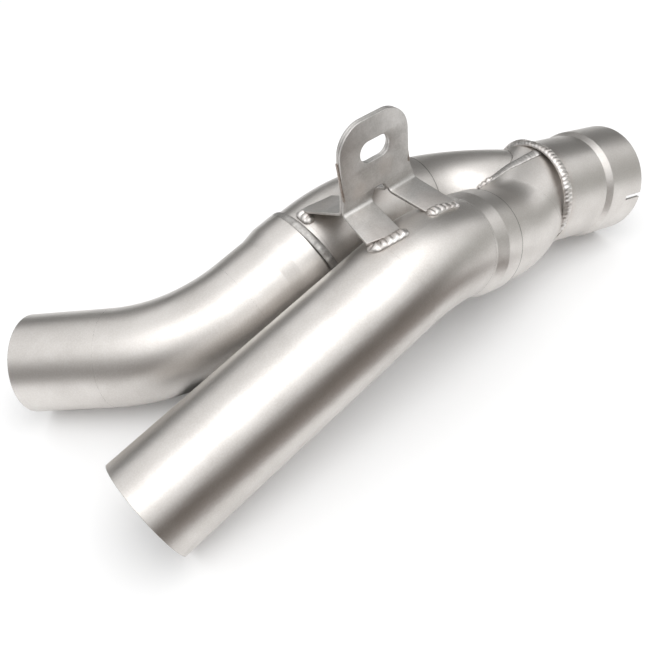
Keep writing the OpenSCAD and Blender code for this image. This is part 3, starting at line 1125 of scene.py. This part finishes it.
@dataclass
class Welds:
    """Every bead: the collector's ring, the feet, the bracket's edges and the plain seams."""

    ring_radius: float = 28.6 * MM
    ring_back: float = 58.4 * MM
    ring_sink: float = 1.5 * MM
    ring_steps: int = 720
    ring_size: BeadSize = BeadSize(3.0 * MM, 1.9 * MM, 2.3 * MM)
    socket: str = "rear_socket_weld"
    socket_shift: float = 1.6 * MM
    socket_size: BeadSize = BeadSize(2.4 * MM, 0.75 * MM, 2.3 * MM, ripple_share=0.12)
    seam_node: str = "merge_seam_weld"
    seam_size: BeadSize = BeadSize(2.7 * MM, 0.8 * MM, 1.8 * MM, 2.5 * MM, 0.15)
    lump_size: BeadSize = BeadSize(2.0 * MM, 1.9 * MM, 2.9 * MM, 1.5 * MM, 0.6)
    legs: tuple[str, ...] = ("front_merge_leg", "rear_merge_leg")
    foot_size: BeadSize = BeadSize(3.3 * MM, 2.3 * MM, 3.3 * MM, 1.6 * MM, 0.45)
    carriers: tuple[str, ...] = ("front_tube", "rear_mid_tube")
    edges: tuple[str, ...] = ("left_edge_weld", "right_edge_weld")
    edge_size: BeadSize = BeadSize(0.95 * MM, 0.5 * MM, 1.5 * MM)
    edge_steps: int = 80
    rest_steps: int = 30

    def outlet_axis(self) -> Vector:
        """Return the direction in which the outlet faces."""
        mounts = {mount["name"]: mount for mount in frame["record"]["mounts"]}
        return Vector(mounts["outlet"]["axis"]).normalized()

    def ring_centre(self) -> Vector:
        """Return the centre of the ring bead."""
        return -self.outlet_axis() * self.ring_back

    def ring(self) -> Bead:
        """Draw the bead round the collector's end, which sinks in under the pipe.

        Returns:
            The bead.
        """
        axis = self.outlet_axis()
        across = axis.cross(Vector((0, 0, 1))).normalized()
        outward = spokes(across, across.cross(axis), self.ring_steps)
        centre = self.ring_centre()
        sinks = [self.ring_sink * min(1.0, max(0.0, 0.5 - spoke.z)) for spoke in outward]
        path = [centre + spoke * (self.ring_radius - sink) for spoke, sink in zip(outward, sinks)]
        return Bead("ring_bead", "collector_ring_weld", path, outward, self.ring_size,
                    End.CLOSED, seed=3)

    def socket_fillet(self) -> Bead:
        """Draw the low, matte fillet round the rear socket's rim.

        Returns:
            The bead.
        """
        corners = [vertex.co.copy() for vertex in frame["nodes"][self.socket].data.vertices]
        centre = sum(corners, Vector()) / len(corners)
        first = max(corners, key=lambda point: (point - centre).length) - centre
        side = max(corners, key=lambda point: (point - centre).cross(first).length) - centre
        axis = first.cross(side).normalized()
        across = (first - axis * first.dot(axis)).normalized()
        radius = sum((corner - centre).length for corner in corners) / len(corners)
        outward = spokes(across, axis.cross(across), self.ring_steps)
        centre += axis * math.copysign(self.socket_shift, axis.x)
        path = [centre + spoke * radius for spoke in outward]
        return Bead("socket_fillet", self.socket, path, outward, self.socket_size, End.CLOSED,
                    seed=5)

    def seam(self) -> Bead:
        """Return the matte bead in the valley between the two legs."""
        path, normals = resting_path(SEAM_LINE, self.legs, self.rest_steps)
        return Bead("seam_bead", self.seam_node, path, normals, self.seam_size, seed=31)

    def lumps(self) -> Bead:
        """Return the bright lumps at the seam's start, which no plain solid stands for."""
        path, normals = resting_path(SEAM_LUMPS, self.legs, self.rest_steps)
        return Bead("seam_lumps", "", path, normals, self.lump_size, seed=33)

    def foot(self, node: str, seed: int) -> Bead:
        """Return the bead that joins one foot to its tube."""
        path, normals = resting_path(FOOT_BEADS[node], self.carriers, self.rest_steps)
        return Bead(node.replace("weld", "bead"), node, path, normals, self.foot_size, seed=seed)

    def edge(self, node: str, seed: int) -> Bead:
        """Draw the bead on one edge of the bracket's upright.

        Args:
            node: The name of the bead's plain solid.
            seed: The seed of its drops.

        Returns:
            The bead.
        """
        start, finish = longest_line(node)
        side = -1.0 if node.startswith("left") else 1.0
        start.x = finish.x = (Bracket.middle + side * Bracket.half_width) * MM
        path = straight_path(start, finish, self.edge_steps)
        outward = [Vector((side, 0, 0))] * len(path)
        return Bead(node.replace("weld", "bead"), node, path, outward, self.edge_size, seed=seed)

    def build(self, bright: BeadSteel, brown: BeadSteel, dull: BlastedSteel) -> None:
        """Make the beads and dress them.

        Args:
            bright: Finish of the ring and the feet's beads.
            brown: Finish of the beads on the bracket's edges.
            dull: Finish of the plain seams.
        """
        bright_metal, brown_metal = bright.material(), brown.material()
        beads = [(self.ring(), bright_metal)]
        beads += [(self.foot(name, seed), bright_metal) for seed, name in enumerate(FOOT_BEADS, 11)]
        beads += [(self.edge(name, seed), brown_metal) for seed, name in enumerate(self.edges, 21)]
        made = dull.material()
        beads += [(self.socket_fillet(), made), (self.seam(), made), (self.lumps(), bright_metal)]
        for bead, metal in beads:
            piece = bead.build()
            piece.data.materials.append(metal)
            if bead.node:
                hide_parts(bead.node)
            LOG.info("built %s", bead.name)


# The studio


@dataclass(frozen=True)
class Card:
    """A card that only the metal's reflections see, placed from the pipe's middle."""

    name: str
    offset: tuple[float, float, float]
    size: Pair
    facing: tuple[float, float, float]
    glow: Colour
    on_floor: bool = False


CARDS = (
    Card("front_card", (-0.50, -0.32, 0.015), (1.35, 0.15), (0, 1, 0), (0.07, 0.05, 0.035)),
    Card("floor_card", (-0.50, -0.24, 0.0), (1.30, 0.22), (0, 0, 1), (0.24, 0.21, 0.19), True),
    # Painted shade: a near-black sheet under the gap between the tubes, seen only in reflections.
    Card("painted_gap_shade_card", (0.0, -0.005, 0.0), (0.22, 0.035), (0, 0, 1), (0.01, 0.012, 0.011), True),
    Card("left_card", (-0.85, -0.20, 0.20), (1.2, 0.56), (1, 0.35, -0.2), (0.24, 0.23, 0.22)),
    Card("front_right_card", (0.80, -0.35, 0.12), (1.1, 0.36), (-0.6, 1, 0), (0.42, 0.42, 0.40)),
    Card("far_card", (0.0, 0.9, 0.24), (2.2, 0.56), (0, -1, 0), (0.10, 0.10, 0.095)),
    Card("right_card", (1.05, 0.38, 0.60), (1.0, 1.3), (-1, -0.3, -0.45), (0.14, 0.14, 0.135)),
)


@dataclass
class Studio:
    """Camera, floor, lights and the cards that shape the reflections."""

    camera_place: Vector = field(default_factory=lambda: Vector((-329.24, -180.90, 236.63)) * MM)
    camera_right: Vector = field(default_factory=lambda: Vector((0.7682, -0.6312, -0.1072)))
    camera_down: Vector = field(default_factory=lambda: Vector((-0.5057, -0.4956, -0.7062)))
    focal_pixels: float = 665.07
    sensor: float = 36.0
    nearest: float = 0.01
    farthest: float = 50.0
    floor_side: float = 12.0
    floor_drop: float = 0.05 * MM
    floor_colour: Colour = (0.95, 0.95, 0.95)
    floor_roughness: float = 0.9
    floor_specular: float = 0.1
    card_lift: float = 2.0 * MM
    room_level: float = 0.96
    lamp_offset: tuple[float, float, float] = (-0.10, -0.42, 1.15)
    lamp_size: Pair = (1.4, 0.95)
    lamp_watts: float = 6.0

    def camera(self) -> None:
        """Put the camera where the photograph was taken from."""
        data = bpy.data.cameras.new("camera")
        data.sensor_width = self.sensor
        data.lens = self.sensor * self.focal_pixels / IMAGE_SIDE
        data.clip_start, data.clip_end = self.nearest, self.farthest
        right = self.camera_right.normalized()
        up = -(self.camera_down - right * self.camera_down.dot(right)).normalized()
        back = right.cross(up)
        turned = Matrix((right, up, back)).transposed()
        holder = add_object("camera", data)
        holder.matrix_world = Matrix.Translation(self.camera_place) @ turned.to_4x4()
        bpy.context.scene.camera = holder

    def plane(self, name: str, centre: Vector, size: Pair, facing: Vector) -> bpy.types.Object:
        """Make a flat stage piece.

        Args:
            name: Name of the piece.
            centre: Its middle.
            size: Its two sides.
            facing: The direction that its front faces.

        Returns:
            The piece, marked as stage.
        """
        data = bpy.data.meshes.new(name)
        half_x, half_y = size[0] / 2, size[1] / 2
        corners = [(-half_x, -half_y, 0), (half_x, -half_y, 0), (half_x, half_y, 0),
                   (-half_x, half_y, 0)]
        data.from_pydata(corners, [], [(0, 1, 2, 3)])
        piece = add_object(name, data)
        piece.matrix_world = facing_matrix(centre, facing)
        return piece

    def floor(self) -> None:
        """Make the pale floor that the pipe lies on."""
        low = CAD_BOX[0][2] - self.floor_drop
        piece = self.plane("floor", Vector((0, 0, low)), (self.floor_side, self.floor_side),
                           Vector((0, 0, 1)))
        made, tree, shader = new_material("floor")
        feed(tree, shader, {"Base Color": rgba(self.floor_colour),
                            "Roughness": self.floor_roughness,
                            "Specular IOR Level": self.floor_specular})
        piece.data.materials.append(made)

    def lamp(self, middle: Vector) -> None:
        """Hang the one soft lamp.

        Args:
            middle: The pipe's middle, which the lamp faces.
        """
        data = bpy.data.lights.new("top_lamp", "AREA")
        data.shape = "RECTANGLE"
        data.size, data.size_y = self.lamp_size
        data.energy = self.lamp_watts
        place = middle + Vector(self.lamp_offset)
        add_object("top_lamp", data).matrix_world = facing_matrix(place, place - middle)

    def card(self, card: Card, middle: Vector) -> None:
        """Stand one card.

        Args:
            card: The card's place, size and glow.
            middle: The pipe's middle.
        """
        place = middle + Vector(card.offset)
        if card.on_floor:
            place.z = CAD_BOX[0][2] + self.card_lift
        piece = self.plane(card.name, place, card.size, Vector(card.facing))
        made, tree, shader = new_material(card.name)
        tree.nodes.remove(shader)
        glow = add_node(tree, "ShaderNodeEmission")
        feed(tree, glow, {"Color": rgba(card.glow)})
        feed(tree, tree.nodes["Material Output"], {"Surface": glow.outputs[0]})
        piece.data.materials.append(made)
        piece.visible_camera = False
        piece.visible_diffuse = False
        piece.visible_shadow = False

    def world(self) -> None:
        """Light the room evenly, and show it white behind the part."""
        made = bpy.data.worlds.new("room")
        made.use_nodes = True
        tree = made.node_tree
        rays = add_node(tree, "ShaderNodeLightPath")
        seen = maths(tree, "MAXIMUM", rays.outputs["Is Camera Ray"],
                     rays.outputs["Is Glossy Ray"])
        seen = maths(tree, "MAXIMUM", seen, rays.outputs["Is Transmission Ray"])
        strength = maths(tree, "MULTIPLY_ADD", seen, 1.0 - self.room_level, self.room_level)
        feed(tree, tree.nodes["Background"], {"Strength": strength, "Color": rgba((1.0, 1.0, 1.0))})
        bpy.context.scene.world = made

    def build(self) -> None:
        """Set up the whole studio."""
        middle = (Vector(CAD_BOX[0]) + Vector(CAD_BOX[1])) / 2
        self.camera()
        self.floor()
        self.world()
        self.lamp(middle)
        for card in CARDS:
            self.card(card, middle)


FOOT_TINT = 13.0 * MM
RING_TINT = 8.0 * MM
RIM_SHADE_REACH = 1.0 * MM
RIM_LIMIT = 29.5 * MM


def main() -> None:
    """Build and dress every sub-assembly, then the studio."""
    logging.basicConfig(level=logging.INFO, format="%(message)s")
    welds = Welds()
    ends = [longest_line(name) for name in FOOT_BEADS]
    spots = tuple(Spot((start + finish) / 2, FOOT_TINT) for start, finish in ends)
    smudges = (Spot(Vector((-167.0, 21.2, 65.0)) * MM, 6.0 * MM),
               Spot(Vector((-150.0, 21.2, 71.0)) * MM, 7.0 * MM))
    rings = (RingMark(welds.ring_centre(), welds.outlet_axis(), RING_TINT),)
    # Painted shade lines in the joints where the legs leave the tubes' rim ends.
    joints = (("front_tube", "front_merge_leg"), ("rear_mid_tube", "rear_merge_leg"))
    painted_rim_shades = tuple(RingMark(*end_face(tube, leg), RIM_SHADE_REACH, RIM_LIMIT) for tube, leg in joints)
    tube_finish = BlastedSteel("tube_finish", light=(0.71, 0.68, 0.65), dark=(0.63, 0.60, 0.57),
                               roughness=0.38, edge_colour=(0.30, 0.28, 0.26), spots=spots,
                               rings=rings, painted_rim_shades=painted_rim_shades)
    plate_finish = BlastedSteel("plate_finish", light=(0.63, 0.61, 0.59),
                                dark=(0.53, 0.515, 0.495), roughness=0.44, cloud=9.0 * MM,
                                spots=(*spots, *smudges))
    seam_finish = BlastedSteel("seam_finish", light=(0.50, 0.485, 0.465),
                               dark=(0.38, 0.365, 0.35), roughness=0.45, grain=0.7 * MM,
                               grain_depth=0.12 * MM, cloud=4.0 * MM)
    brown_finish = BeadSteel("brown_bead", bright=(0.50, 0.45, 0.41), burnt=(0.26, 0.20, 0.17),
                             burnt_share=0.8, roughness=0.36)
    Tubes().dress(tube_finish)
    Bracket().build(plate_finish)
    welds.build(BeadSteel("bright_bead"), brown_finish, seam_finish)
    Studio().build()
    bpy.context.scene.view_settings.view_transform = "Standard"


if __name__ == "__main__":
    main()
